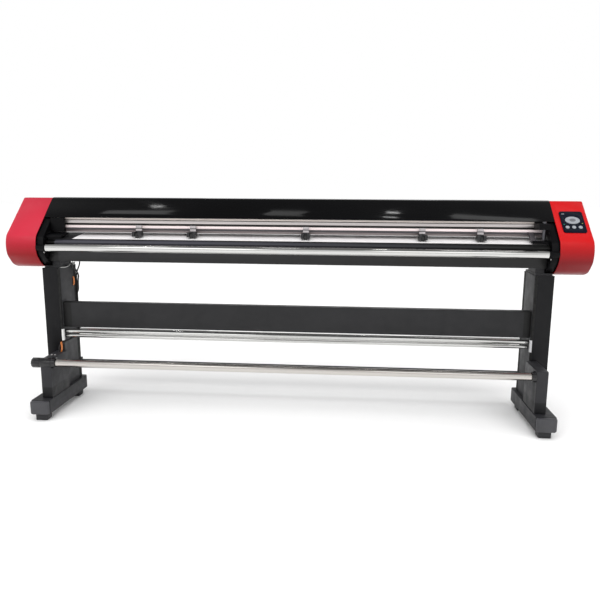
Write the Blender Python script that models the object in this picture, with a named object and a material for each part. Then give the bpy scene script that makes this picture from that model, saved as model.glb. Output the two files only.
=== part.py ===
"""Wide roll-fed vinyl cutter on a two-legged stand with a take-up tube.

Metres, +Z up. The origin is on the floor at the middle of the machine, +X is to the operator's right
and the operator stands at -Y. Side outlines are lists of (y, z), plans are lists of (x, y).
"""

import math

import bmesh
import bpy
from mathutils import Matrix, Vector

# End covers and the hood between them
HALF_WIDTH = 1.225
COVER_START_X = 1.090
COVER_WALL = 0.003
COVER_SLOPE = [(0.122, 0.9285), (-0.045, 0.7735)]
COVER_NOSE = [
    (-0.045, 0.7735),
    (-0.0535, 0.7550),
    (-0.0575, 0.7335),
    (-0.057, 0.7075),
    (-0.050, 0.6845),
    (-0.031, 0.6615),
    (-0.010, 0.6415),
    (0.020, 0.6295),
    (0.045, 0.6265),
]
COVER_BACK = [(0.178, 0.6265), (0.185, 0.6335), (0.185, 0.9135), (0.180, 0.9235), (0.170, 0.9285)]
NOSE_STEPS = 3
NOSE_LEAD = 0.022  # length of flat panel that steers each end of the nose's curve
HOOD_OUTLINE = [
    (0.185, 0.7955),
    (0.185, 0.9175),
    (0.181, 0.9265),
    (0.172, 0.931),
    (0.133, 0.931),
    (0.124, 0.929),
    (0.117, 0.9237),
    (0.0955, 0.9052),
    (0.0745, 0.8862),
    (0.0540, 0.8666),
    (0.034, 0.8465),
]
HOOD_WALL = 0.0025
HOOD_HALF = 1.0895

# Side plates: trays whose rims meet the end covers
PLATE_INNER_X = 1.060
PLATE_RIM_X = 1.0897
PLATE_WALL = 0.004
PLATE_INSET = 0.008

# Rail beam, from the top front corner round the front to the bottom and back
BEAM_HALF = 1.0592
BEAM_OUTLINE = [
    (0.112, 0.8435),
    (0.054, 0.8435),
    (0.054, 0.836),
    (0.060, 0.835),
    (0.060, 0.8335),
    (0.0552, 0.833),
    (0.0552, 0.821),
    (0.064, 0.820),
    (0.064, 0.8115),
    (0.0505, 0.8105),
    (0.0505, 0.8005),
    (0.058, 0.7995),
    (0.058, 0.7805),
    (0.112, 0.7805),
]
LINEAR_RAIL = (0.0477, 0.0547, 0.821, 0.833)

# Platen, apron and rear cover are bent sheet
SHEET = 0.0025
PLATEN_PATH = [(-0.018, 0.7553), (0.1225, 0.7750), (0.178, 0.7585)]
PLATEN_SLOT_HALF = 0.0092
APRON_PATH = [
    (-0.001, 0.7515),
    (-0.016, 0.7515),
    (-0.030, 0.7405),
    (-0.024, 0.7275),
    (0.000, 0.7055),
    (0.000, 0.6560),
    (0.012, 0.6560),
]
REAR_COVER_PATH = [(0.014, 0.656), (0.1825, 0.656), (0.1825, 0.7535)]

# Rollers, rods and tubes: (y, z) of each axis
HEAD_TUBE_AXIS = (-0.048, 0.7185)
GRIT_AXIS = (0.012, 0.7507)
WHEEL_AXIS = (0.012, 0.7710)
LIFT_AXIS = (0.047, 0.7955)
UPPER_ROD_AXIS = (0.012, 0.3395)
LOWER_ROD_AXIS = (0.012, 0.3190)
UPPER_ROLLER_AXIS = (0.200, 0.2955)
LOWER_ROLLER_AXIS = (0.200, 0.1405)
TAKE_UP_AXIS = (-0.150, 0.2375)
TUBE_RADIUS = 0.016
TUBE_WALL = 0.002
GRIT_RADIUS = 0.010
GRIT_SHAFT = 0.0035
LIFT_SHAFT_RADIUS = 0.004
PIN_RADIUS = 0.004
PIN_BORE = 0.0018
RUNNING_GAP = 0.0003

# Pinch rollers
PINCH_CENTRES = (-0.667, -0.427, 0.063, 0.553, 0.793)
WHEEL_RADIUS = 0.010
WHEEL_HALF = 0.0065
AXLE_RADIUS = 0.002

# Feed drive in the left cover
GEAR_RADIUS = 0.018
PINION_RADIUS = 0.009
GEAR_X = (-1.112, -1.100)

# Carriage and its belt
CARRIAGE_X = (1.012, 1.056)
BLADE_XY = (1.034, -0.012)
BLADE_RADIUS = 0.006
PULLEY_X = 1.040
PULLEY_Z = 0.8715
PULLEY_RADIUS = 0.012
BELT_WALL = 0.0015
BELT_Y = (0.0885, 0.0975)
BRACKET_Y = (0.1005, 0.1035)

# Stand
COLUMN_X = (1.016, 1.092)
COLUMN_Y = (-0.010, 0.152)
COLUMN_Z = (0.0868, 0.6260)
CORNER_NOTCH = 0.010
STEEL_WALL = 0.003
HEAD_PLATE_X = (1.020, 1.089)
HEAD_PLATE_Y = (0.010, 0.150)
HEAD_PLATE_TOP = 0.6342
UPSTAND_X = (1.022, 1.058)
UPSTAND_Y = (0.020, 0.120)
UPSTAND_TOP = 0.6550
ROLLER_EAR_X = (1.040, 1.046)
ROLLER_EAR_HALF = 0.0215
FOOT_X = (0.999, 1.080)
FOOT_Y = (-0.200, 0.175)
FOOT_Z = (0.0295, 0.0865)
FOOT_CORNER = 0.014
CAP_FRONT_Y = -0.222
LEVELLER_X = 1.038
LEVELLER_Y = (-0.1825, 0.1275)
LEVELLER_SCREW = 0.006
PAD_HALF_X = 0.025
PAD_HALF_Y = 0.0225
PAD_HEIGHT = 0.025
BOX_X = (1.0015, 1.0465)
BOX_Y = (-0.167, -0.0105)
BOX_BOTTOM = 0.0870
LEFT_BOX_TOP = 0.2560
RIGHT_BOX_TOP = 0.2630
BEAM_Y = (0.005, 0.045)
BEAM_Z = (0.3595, 0.4725)
BEAM_END = 1.0155
ROD_END = 1.0150

# Take-up drive
TUBE_END = 1.0005
TAKE_UP_SHAFT = 0.007
DRIVE_RADIUS = 0.0215
DRIVE_X = (-1.0520, -1.0030)

# Control panel: distances down the sloping face of the right cover
PANEL_X = (1.113, 1.206)
PANEL_DOWN = (0.064, 0.184)
PANEL_THICK = 0.003
PAD_CENTRE = (1.159, 0.116)
PAD_HALVES = (0.0295, 0.0205)
BUTTON_DOWN = 0.155
BUTTON_RADIUS = 0.008
BUTTONS = {"left": 1.132, "middle": 1.158, "right": 1.184}
KEY_TOP = 0.0055
KEY_BOTTOM = -0.004
KEY_GAP = 0.0004

# Power inlet on the back of the left cover
INLET_X = (-1.183, -1.141)
INLET_Z = (0.6665, 0.6885)
SWITCH_PIVOT = (-1.175, 0.1835, 0.6775)

# Looks: colour, metallic, roughness
RED = ((0.62, 0.02, 0.03), 0.0, 0.4)
GLOSS_BLACK = ((0.012, 0.012, 0.014), 0.0, 0.15)
BLACK = ((0.02, 0.02, 0.022), 0.0, 0.5)
STAND_PAINT = ((0.03, 0.03, 0.032), 0.0, 0.55)
CAP_GREY = ((0.05, 0.05, 0.052), 0.0, 0.6)
CHROME = ((0.8, 0.8, 0.8), 1.0, 0.12)
STEEL = ((0.5, 0.5, 0.5), 1.0, 0.35)
ALUMINIUM = ((0.78, 0.74, 0.73), 1.0, 0.35)
LIGHT_PAINT = ((0.6, 0.6, 0.6), 0.0, 0.4)
APRON_PAINT = ((0.035, 0.035, 0.045), 0.0, 0.45)
NAVY = ((0.01, 0.012, 0.03), 0.0, 0.3)
SILVER = ((0.6, 0.6, 0.62), 0.4, 0.35)
DARK_RUBBER = ((0.015, 0.015, 0.015), 0.0, 0.8)
BOARD_GREEN = ((0.02, 0.15, 0.05), 0.0, 0.5)
SHARP_ANGLE = math.radians(40)


def clear_scene():
    for old in list(bpy.data.objects):
        bpy.data.objects.remove(old, do_unlink=True)


def own_material(name, look):
    color, metallic, roughness = look
    material = bpy.data.materials.new(name + "_material")
    material.use_nodes = True
    shader = material.node_tree.nodes["Principled BSDF"]
    shader.inputs["Base Color"].default_value = (*color, 1.0)
    shader.inputs["Metallic"].default_value = metallic
    shader.inputs["Roughness"].default_value = roughness
    return material


def loft(name, rings, look=None, loop=False, origin=(0, 0, 0), matrix=None):
    """A solid through rings of points. Its end rings are capped, or joined to each other when loop."""
    bm = bmesh.new()
    made = [[bm.verts.new(point) for point in ring] for ring in rings]
    pairs = list(zip(made, made[1:]))
    if loop:
        pairs.append((made[-1], made[0]))
    for ring, following in pairs:
        for i in range(len(ring)):
            j = (i + 1) % len(ring)
            bm.faces.new((ring[i], ring[j], following[j], following[i]))
    if not loop:
        bm.faces.new(made[0])
        bm.faces.new(made[-1])
    bmesh.ops.recalc_face_normals(bm, faces=bm.faces)
    if matrix:
        bm.transform(matrix)
    bm.transform(Matrix.Translation(-Vector(origin)))
    mesh = bpy.data.meshes.new(name)
    bm.to_mesh(mesh)
    bm.free()
    for face in mesh.polygons:
        face.use_smooth = True
    mesh.set_sharp_from_angle(angle=SHARP_ANGLE)
    obj = bpy.data.objects.new(name, mesh)
    obj.location = origin
    bpy.context.collection.objects.link(obj)
    if look:
        mesh.materials.append(own_material(name, look))
    return obj


def point_on(axis, along, a, b):
    if axis == "X":
        return (along, a, b)
    if axis == "Y":
        return (a, along, b)
    return (a, b, along)


def prism(name, axis, outline, start, end, look=None, **more):
    rings = [[point_on(axis, along, a, b) for a, b in outline] for along in (start, end)]
    return loft(name, rings, look, **more)


def hollow_prism(name, axis, outline, wall, start, end, look):
    """A prism with a hole of the same outline right through it."""
    inner = offset(outline, wall)
    rings = [
        [point_on(axis, along, a, b) for a, b in ring]
        for ring, along in ((outline, start), (outline, end), (inner, end), (inner, start))
    ]
    return loft(name, rings, look, loop=True)


def turned(name, axis, centre, steps, look=None, segments=32, loop=False, **more):
    """A round solid. steps are (distance along the axis, radius); centre is where the axis passes."""
    rings = []
    for along, radius in steps:
        ring = []
        for i in range(segments):
            angle = 2 * math.pi * (i + 0.5) / segments
            a = centre[0] + radius * math.cos(angle)
            b = centre[1] + radius * math.sin(angle)
            ring.append(point_on(axis, along, a, b))
        rings.append(ring)
    return loft(name, rings, look, loop=loop, **more)


def box(name, x, y, z, look=None, **more):
    return prism(name, "Z", rectangle(x, y), z[0], z[1], look, **more)


def rectangle(a, b):
    return [(a[0], b[0]), (a[1], b[0]), (a[1], b[1]), (a[0], b[1])]


def rounded(a, b, radii, steps=5):
    """A rectangle whose corners, from (a0, b0) anticlockwise, are rounded by these radii."""
    corners = ((a[0], b[0], 180), (a[1], b[0], 270), (a[1], b[1], 0), (a[0], b[1], 90))
    outline = []
    for (x, y, first), radius in zip(corners, radii):
        if radius == 0:
            outline.append((x, y))
            continue
        middle = (x + radius * (1 if x == a[0] else -1), y + radius * (1 if y == b[0] else -1))
        for i in range(steps + 1):
            angle = math.radians(first + 90 * i / steps)
            outline.append(
                (middle[0] + radius * math.cos(angle), middle[1] + radius * math.sin(angle))
            )
    return outline


def offset(path, distance, closed=True):
    """The path moved to the left of its direction of travel, with mitred corners."""
    moved = []
    last = len(path) - 1
    for i, here in enumerate(path):
        normals = []
        if closed or i > 0:
            normals.append(left_normal(path[i - 1], here))
        if closed or i < last:
            normals.append(left_normal(here, path[(i + 1) % len(path)]))
        total = sum(normals, Vector((0, 0)))
        share = distance * len(normals) / total.length_squared
        moved.append((here[0] + total.x * share, here[1] + total.y * share))
    return moved


def left_normal(start, end):
    along = Vector(end) - Vector(start)
    return Vector((-along.y, along.x)).normalized()


def sheet_outline(path, thickness):
    """The outline of a bent sheet whose material lies to the left of the path."""
    return path + offset(path, thickness, closed=False)[::-1]


def boolean(obj, operation, others):
    for other in others:
        modifier = obj.modifiers.new(operation.title(), "BOOLEAN")
        modifier.operation = operation
        modifier.object = other
        other.hide_render = True
        other.display_type = "WIRE"


def join(obj, *others):
    boolean(obj, "UNION", others)


def cut(obj, *others):
    boolean(obj, "DIFFERENCE", others)


def side_span(side, span):
    return tuple(sorted((side * span[0], side * span[1])))


def side_name(side):
    return "right" if side > 0 else "left"


def drill(obj, axis, centre, radius, start, end, segments=32):
    cut(obj, turned("drill", axis, centre, [(start, radius), (end, radius)], segments=segments))


def open_tube(name, axis, half, look):
    """A thin tube along X whose ends step down to bored pins."""
    outer = TUBE_RADIUS
    inner = TUBE_RADIUS - TUBE_WALL
    pin_end = half + 0.012
    plug = half - 0.010
    steps = [
        (-pin_end, PIN_RADIUS),
        (-half, PIN_RADIUS),
        (-half, outer),
        (half, outer),
        (half, PIN_RADIUS),
        (pin_end, PIN_RADIUS),
        (pin_end, PIN_BORE),
        (plug, PIN_BORE),
        (plug, inner),
        (-plug, inner),
        (-plug, PIN_BORE),
        (-pin_end, PIN_BORE),
    ]
    return turned(name, "X", axis, steps, look, loop=True, origin=(0, *axis))


def pinned_rod(name, axis, radius, half, pin, pin_length, look):
    end = half + pin_length
    steps = [(-end, pin), (-half, pin), (-half, radius), (half, radius), (half, pin), (end, pin)]
    return turned(name, "X", axis, steps, look, segments=24, origin=(0, *axis))


def curve_through(points, before, after, steps):
    """A smooth curve through the points. before and after are the neighbours that steer its two ends."""
    guide = [Vector(point) for point in (before, *points, after)]
    curve = []
    for p0, p1, p2, p3 in zip(guide, guide[1:], guide[2:], guide[3:]):
        for i in range(steps):
            t = i / steps
            bend = (p3 - p0 + 3 * (p1 - p2)) * t**3 + (2 * p0 - 5 * p1 + 4 * p2 - p3) * t**2
            point = p1 + 0.5 * (bend + (p2 - p0) * t)
            curve.append((point.x, point.y))
    return [*curve, points[-1]]


def cover_outline():
    top, foot = (Vector(point) for point in COVER_SLOPE)
    above = foot + (top - foot).normalized() * NOSE_LEAD
    beyond = Vector(COVER_NOSE[-1]) + Vector((NOSE_LEAD, 0))
    nose = curve_through(COVER_NOSE, above, beyond, NOSE_STEPS)
    return [COVER_SLOPE[0], *nose, *COVER_BACK]


def slope_matrix():
    """Local x is world X, local y runs up the sloping face and local z stands out of it."""
    top = Vector((0, *COVER_SLOPE[0]))
    foot = Vector((0, *COVER_SLOPE[1]))
    up = (top - foot).normalized()
    across = Vector((1, 0, 0))
    out = across.cross(up)
    matrix = Matrix((across, up, out)).transposed().to_4x4()
    matrix.translation = top
    return matrix


def cover_ring(x, inset):
    return [(x, y, z) for y, z in offset(cover_outline(), inset)]


def make_end_cover(side):
    outside = ((HALF_WIDTH, 0.006), (HALF_WIDTH - 0.0018, 0.0018), (HALF_WIDTH - 0.006, 0.0))
    inside = ((HALF_WIDTH - 0.009, 0.0), (HALF_WIDTH - 0.0048, 0.0018), (HALF_WIDTH - 0.003, 0.006))
    rings = [cover_ring(side * x, inset) for x, inset in outside]
    rings.append(cover_ring(side * COVER_START_X, 0.0))
    rings.append(cover_ring(side * COVER_START_X, COVER_WALL))
    rings += [cover_ring(side * x, inset + COVER_WALL) for x, inset in inside]
    return loft(side_name(side) + "_end_cover", rings, RED)


def make_side_plate(side):
    back_x = PLATE_INNER_X + PLATE_WALL
    rings = [
        cover_ring(side * PLATE_INNER_X, PLATE_INSET),
        cover_ring(side * PLATE_RIM_X, PLATE_INSET),
        cover_ring(side * PLATE_RIM_X, PLATE_INSET + PLATE_WALL),
        cover_ring(side * back_x, PLATE_INSET + PLATE_WALL),
    ]
    plate = loft(side_name(side) + "_side_plate", rings, BLACK)
    boss_steps = [(side * (PLATE_INNER_X - 0.0105), 0.0135), (side * 1.089, 0.0135)]
    join(plate, turned("boss", "X", HEAD_TUBE_AXIS, boss_steps))
    start, end = side_span(side, (1.040, 1.074))
    drill(plate, "X", HEAD_TUBE_AXIS, PIN_RADIUS + RUNNING_GAP, start, end)
    start, end = side_span(side, (1.050, 1.080))
    drill(plate, "X", GRIT_AXIS, GRIT_SHAFT + RUNNING_GAP, start, end)
    drill(plate, "X", LIFT_AXIS, LIFT_SHAFT_RADIUS + RUNNING_GAP, start, end)
    return plate


def make_head():
    covers = {side: make_end_cover(side) for side in (-1, 1)}
    for side in (-1, 1):
        make_side_plate(side)
    hood = sheet_outline(HOOD_OUTLINE, HOOD_WALL)
    prism("hood", "X", hood, -HOOD_HALF, HOOD_HALF, GLOSS_BLACK)
    rear = sheet_outline(REAR_COVER_PATH, SHEET)
    prism("rear_cover", "X", rear, -BEAM_HALF, BEAM_HALF, BLACK)
    apron = sheet_outline(APRON_PATH, SHEET)
    prism("front_apron", "X", apron, -BEAM_HALF, BEAM_HALF, APRON_PAINT)
    platen_outline = sheet_outline(PLATEN_PATH[::-1], SHEET)
    platen = prism("platen", "X", platen_outline, -BEAM_HALF, BEAM_HALF, LIGHT_PAINT)
    slot_y = (GRIT_AXIS[0] - PLATEN_SLOT_HALF, GRIT_AXIS[0] + PLATEN_SLOT_HALF)
    cut(platen, box("roller_slot", (-1.030, 1.030), slot_y, (0.740, 0.772)))
    open_tube("head_tube", HEAD_TUBE_AXIS, 1.048, CHROME)
    return covers


def make_rail():
    beam = prism("rail_beam", "X", BEAM_OUTLINE, -BEAM_HALF, BEAM_HALF, ALUMINIUM)
    hollow = rounded((0.070, 0.108), (0.7845, 0.8395), (0.002,) * 4, steps=2)
    cut(beam, prism("beam_hollow", "X", hollow, -1.1, 1.1))
    bracket_z = (0.8415, 0.8935)
    for side in (-1, 1):
        span = side_span(side, (1.020, 1.0585))
        join(beam, box("pulley_bracket", span, BRACKET_Y, bracket_z))
    pin_steps = [(BELT_Y[0], 0.0025), (BRACKET_Y[0] + 0.001, 0.0025)]
    join(beam, turned("idler_pin", "Y", (-PULLEY_X, PULLEY_Z), pin_steps, segments=20))
    drill(beam, "Y", (PULLEY_X, PULLEY_Z), 0.004, 0.095, 0.110, segments=20)
    rail = rectangle(LINEAR_RAIL[:2], LINEAR_RAIL[2:])
    prism("linear_rail", "X", rail, -1.0585, 1.0585, STEEL)


def make_feed():
    end = 1.067
    body_end = 1.025
    steps = [
        (GEAR_X[0], GEAR_RADIUS),
        (GEAR_X[1], GEAR_RADIUS),
        (GEAR_X[1], GRIT_SHAFT),
        (-body_end, GRIT_SHAFT),
        (-body_end, GRIT_RADIUS),
        (body_end, GRIT_RADIUS),
        (body_end, GRIT_SHAFT),
        (end, GRIT_SHAFT),
    ]
    turned("grit_roller", "X", GRIT_AXIS, steps, STEEL, origin=(0, *GRIT_AXIS))
    pinion_axis = (GRIT_AXIS[0] + GEAR_RADIUS + PINION_RADIUS + 0.0004, GRIT_AXIS[1])
    motor_front = -1.1175
    pinion_steps = [
        (motor_front - 0.006, 0.003),
        (GEAR_X[0], 0.003),
        (GEAR_X[0], PINION_RADIUS),
        (GEAR_X[1], PINION_RADIUS),
    ]
    turned("feed_pinion", "X", pinion_axis, pinion_steps, STEEL, origin=(0, *pinion_axis))
    half = 0.028
    motor_y = (pinion_axis[0] - half, pinion_axis[0] + half)
    motor_z = (pinion_axis[1] - half, pinion_axis[1] + half)
    outline = rounded(motor_y, motor_z, (0.005,) * 4, steps=2)
    motor = prism("feed_motor", "X", outline, -1.170, motor_front, BLACK)
    drill(motor, "X", pinion_axis, 0.003 + RUNNING_GAP, motor_front - 0.010, motor_front + 0.005)
    post = 0.0235
    for dy in (-post, post):
        for dz in (-post, post):
            centre = (pinion_axis[0] + dy, pinion_axis[1] + dz)
            steps = [(motor_front - 0.002, 0.003), (-1.0645, 0.003)]
            join(motor, turned("motor_post", "X", centre, steps, segments=12))


def make_pinch_roller(index, x):
    y, z = LIFT_AXIS
    half = 0.0125
    fork_half = 0.0185
    slot = WHEEL_HALF + 0.001
    fork = [
        (x - fork_half, -0.002),
        (x - slot, -0.002),
        (x - slot, 0.026),
        (x + slot, 0.026),
        (x + slot, -0.002),
        (x + fork_half, -0.002),
        (x + fork_half, 0.040),
        (x - fork_half, 0.040),
    ]
    name = f"pinch_arm_{index}"
    arm = prism(name, "Z", fork, 0.7665, 0.7865, BLACK, origin=(x, y, z))
    join(arm, box("arm_bracket", (x - half, x + half), (0.034, 0.0462), (0.7855, 0.8130)))
    hub_steps = [(x - half + 0.0005, 0.0056), (x + half - 0.0005, 0.0056)]
    join(arm, turned("arm_hub", "X", LIFT_AXIS, hub_steps))
    drill(arm, "X", LIFT_AXIS, LIFT_SHAFT_RADIUS + RUNNING_GAP, x - 0.03, x + 0.03)
    drill(arm, "X", WHEEL_AXIS, AXLE_RADIUS + RUNNING_GAP, x - 0.0145, x + 0.0145, segments=16)
    bevel = 0.001
    wheel_steps = [
        (x - 0.014, AXLE_RADIUS),
        (x - WHEEL_HALF, AXLE_RADIUS),
        (x - WHEEL_HALF, WHEEL_RADIUS - bevel),
        (x - WHEEL_HALF + bevel, WHEEL_RADIUS),
        (x + WHEEL_HALF - bevel, WHEEL_RADIUS),
        (x + WHEEL_HALF, WHEEL_RADIUS - bevel),
        (x + WHEEL_HALF, AXLE_RADIUS),
        (x + 0.014, AXLE_RADIUS),
    ]
    turned(f"pinch_wheel_{index}", "X", WHEEL_AXIS, wheel_steps, DARK_RUBBER, origin=(x, *WHEEL_AXIS))


def make_lift_lever():
    handle = [
        (0.0465, 0.8007),
        (0.0425, 0.8005),
        (0.020, 0.7895),
        (-0.001, 0.7725),
        (-0.003, 0.7655),
        (0.003, 0.7645),
        (0.022, 0.7795),
        (0.044, 0.7903),
        (0.0475, 0.7901),
    ]
    steps = [(-1.067, LIFT_SHAFT_RADIUS), (1.067, LIFT_SHAFT_RADIUS)]
    lever = turned("lift_lever", "X", LIFT_AXIS, steps, SILVER, segments=24, origin=(0.998, *LIFT_AXIS))
    join(lever, prism("lever_handle", "X", handle, 0.988, 1.008))
    join(lever, turned("lever_hub", "X", LIFT_AXIS, [(0.986, 0.0056), (1.010, 0.0056)]))


def make_carriage():
    plate_z = (0.8443, 0.8483)
    riser_y = (0.0425, 0.0472)
    lip_y = (0.0465, 0.0520)
    carriage = box("carriage", CARRIAGE_X, (-0.022, 0.0430), (0.8155, 0.8385), BLACK, origin=(1.034, 0.011, 0.827))
    join(carriage, box("riser", CARRIAGE_X, riser_y, (0.816, plate_z[1])))
    join(carriage, box("top_plate", (1.0125, 1.0555), (0.043, 0.1000), plate_z))
    join(carriage, box("belt_clamp", (1.020, 1.048), (0.0880, 0.0970), (0.8465, 0.8572)))
    for lip_z in ((0.8165, 0.8205), (0.8335, 0.8375)):
        join(carriage, box("bearing_lip", (1.0125, 1.0555), lip_y, lip_z))
    drill(carriage, "Z", BLADE_XY, BLADE_RADIUS + RUNNING_GAP, 0.8035, 0.8535)
    blade_steps = [
        (0.7655, 0.001),
        (0.7725, 0.0042),
        (0.7775, BLADE_RADIUS),
        (0.8425, BLADE_RADIUS),
        (0.8425, 0.008),
        (0.8475, 0.008),
    ]
    turned("blade_holder", "Z", BLADE_XY, blade_steps, STEEL, origin=(*BLADE_XY, 0.7775))


def make_belt_drive():
    inner = PULLEY_RADIUS + RUNNING_GAP
    outer = inner + BELT_WALL
    span_x = (-PULLEY_X - outer, PULLEY_X + outer)
    loop = rounded(span_x, (PULLEY_Z - outer, PULLEY_Z + outer), (outer - 1e-6,) * 4, steps=8)
    hollow_prism("drive_belt", "Y", loop, BELT_WALL, BELT_Y[0], BELT_Y[1], DARK_RUBBER)
    flange = (BELT_Y[1] + 0.0005, BELT_Y[1] + 0.0015)
    face = [(BELT_Y[0], PULLEY_RADIUS), (flange[0], PULLEY_RADIUS), (flange[0], 0.0145), (flange[1], 0.0145)]
    drive = (PULLEY_X, PULLEY_Z)
    shaft = [(flange[1], 0.0025), (0.112, 0.0025)]
    turned("drive_pulley", "Y", drive, face + shaft, STEEL, origin=(PULLEY_X, BELT_Y[0], PULLEY_Z))
    idler = (-PULLEY_X, PULLEY_Z)
    bore = [(flange[1], 0.0028), (BELT_Y[0], 0.0028)]
    turned("idler_pulley", "Y", idler, face + bore, STEEL, loop=True, origin=(-PULLEY_X, BELT_Y[0], PULLEY_Z))
    half = 0.0190
    motor_x = (PULLEY_X - half, PULLEY_X + half)
    motor_z = (PULLEY_Z - half, PULLEY_Z + half)
    outline = rounded(motor_x, motor_z, (0.004,) * 4, steps=2)
    motor = prism("carriage_motor", "Y", outline, 0.104, 0.146, BLACK)
    drill(motor, "Y", drive, 0.0028, 0.100, 0.115, segments=20)


def make_panel(cover):
    slope = slope_matrix()
    window = rounded((1.119, 1.200), (-0.169, -0.090), (0.006,) * 4, steps=3)
    cut(cover, prism("panel_window", "Z", window, -0.008, 0.004, matrix=slope))
    down = (-PANEL_DOWN[1], -PANEL_DOWN[0])
    outline = rounded(PANEL_X, down, (0.010,) * 4)
    top = PANEL_THICK + RUNNING_GAP
    panel = prism("control_panel", "Z", outline, RUNNING_GAP, top, NAVY, matrix=slope)
    keys = {"navigation_pad": (PAD_CENTRE, PAD_HALVES)}
    for place, x in BUTTONS.items():
        keys["panel_button_" + place] = ((x, BUTTON_DOWN), (BUTTON_RADIUS, BUTTON_RADIUS))
    for name, (centre, halves) in keys.items():
        middle = (centre[0], -centre[1])
        hole = oval(middle, halves, KEY_GAP)
        cut(panel, prism("key_hole", "Z", hole, -0.001, 0.006, matrix=slope))
        rings = []
        for height, grow in ((KEY_BOTTOM, 0.0), (KEY_TOP - 0.001, 0.0), (KEY_TOP, -0.001)):
            rings.append([(x, y, height) for x, y in oval(middle, halves, grow)])
        origin = slope @ Vector((*middle, 0))
        loft(name, rings, SILVER, matrix=slope, origin=origin)
    board = rounded((1.116, 1.203), (-0.186, -0.062), (0.003,) * 4, steps=2)
    circuit = prism("control_board", "Z", board, -0.016, -0.014, BOARD_GREEN, matrix=slope)
    blocks = (
        ((1.145, 1.173), (-0.130, -0.102), (-0.015, -0.0065)),
        ((1.128, 1.188), (-0.158, -0.152), (-0.015, -0.0065)),
        ((1.122, 1.196), (-0.178, -0.072), (-0.030, -0.015)),
    )
    for x, y, z in blocks:
        join(circuit, box("board_block", x, y, z, matrix=slope))


def oval(centre, halves, grow, segments=32):
    outline = []
    for i in range(segments):
        angle = 2 * math.pi * i / segments
        x = centre[0] + (halves[0] + grow) * math.cos(angle)
        y = centre[1] + (halves[1] + grow) * math.sin(angle)
        outline.append((x, y))
    return outline


def make_power(cover):
    gap = 0.0004
    window_x = (INLET_X[0] - gap, INLET_X[1] + gap)
    window_z = (INLET_Z[0] - gap, INLET_Z[1] + gap)
    cut(cover, box("inlet_window", window_x, (0.170, 0.200), window_z))
    inlet = box("power_inlet", INLET_X, (0.155, 0.186), INLET_Z, BLACK)
    flange = rounded((-1.186, -1.138), (0.6635, 0.6915), (0.003,) * 4, steps=2)
    join(inlet, prism("inlet_flange", "Y", flange, 0.1853, 0.1873))
    socket = rounded((-1.1655, -1.1435), (0.6695, 0.6855), (0.001, 0.001, 0.004, 0.004), steps=2)
    cut(inlet, prism("socket", "Y", socket, 0.170, 0.190))
    cut(inlet, box("rocker_well", (-1.1812, -1.1688), (0.172, 0.190), (0.669, 0.686)))
    rocker = [
        (0.0040, -0.0073),
        (0.0025, 0.0),
        (0.0040, 0.0073),
        (-0.003, 0.0058),
        (-0.006, 0.0),
        (-0.003, -0.0058),
    ]
    x, y, z = SWITCH_PIVOT
    tilt = Matrix.Translation(SWITCH_PIVOT) @ Matrix.Rotation(math.radians(12), 4, "X")
    half = 0.0056
    prism("power_switch", "X", rocker, -half, half, BLACK, matrix=tilt, origin=SWITCH_PIVOT)


def make_column(side):
    near, far = COLUMN_X
    front, rear = COLUMN_Y
    section = [
        (near + CORNER_NOTCH, front),
        (far, front),
        (far, rear),
        (near, rear),
        (near, front + CORNER_NOTCH),
        (near + CORNER_NOTCH, front + CORNER_NOTCH),
    ]
    outer = [(side * x, y) for x, y in section]
    inner = [(side * x, y) for x, y in offset(section, STEEL_WALL)]
    column = prism(side_name(side) + "_column", "Z", outer, COLUMN_Z[0], COLUMN_Z[1], STAND_PAINT)
    cut(column, prism("column_hollow", "Z", inner, COLUMN_Z[0] - 0.010, COLUMN_Z[1] - STEEL_WALL))
    groove_x = side_span(side, (near - 0.002, near + 0.0015))
    cut(column, box("rear_groove", groove_x, (rear - 0.026, rear - 0.004), (0.060, 0.700)))
    head_z = (COLUMN_Z[1] - 0.002, HEAD_PLATE_TOP)
    join(column, box("head_plate", side_span(side, HEAD_PLATE_X), HEAD_PLATE_Y, head_z))
    upstand_z = (HEAD_PLATE_TOP - 0.0007, UPSTAND_TOP)
    join(column, box("upstand", side_span(side, UPSTAND_X), UPSTAND_Y, upstand_z))
    ear_x = side_span(side, ROLLER_EAR_X)
    for axis in (UPPER_ROLLER_AXIS, LOWER_ROLLER_AXIS):
        ear_z = (axis[1] - ROLLER_EAR_HALF, axis[1] + ROLLER_EAR_HALF)
        join(column, prism("roller_ear", "X", rectangle((rear - 0.0015, 0.2220), ear_z), *ear_x))
        start, end = side_span(side, (1.036, 1.050))
        drill(column, "X", axis, 0.005 + RUNNING_GAP, start, end, segments=24)
    for axis in (UPPER_ROD_AXIS, LOWER_ROD_AXIS):
        start, end = side_span(side, (near - 0.006, near + 0.006))
        drill(column, "X", axis, PIN_RADIUS + RUNNING_GAP, start, end, segments=24)


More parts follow.
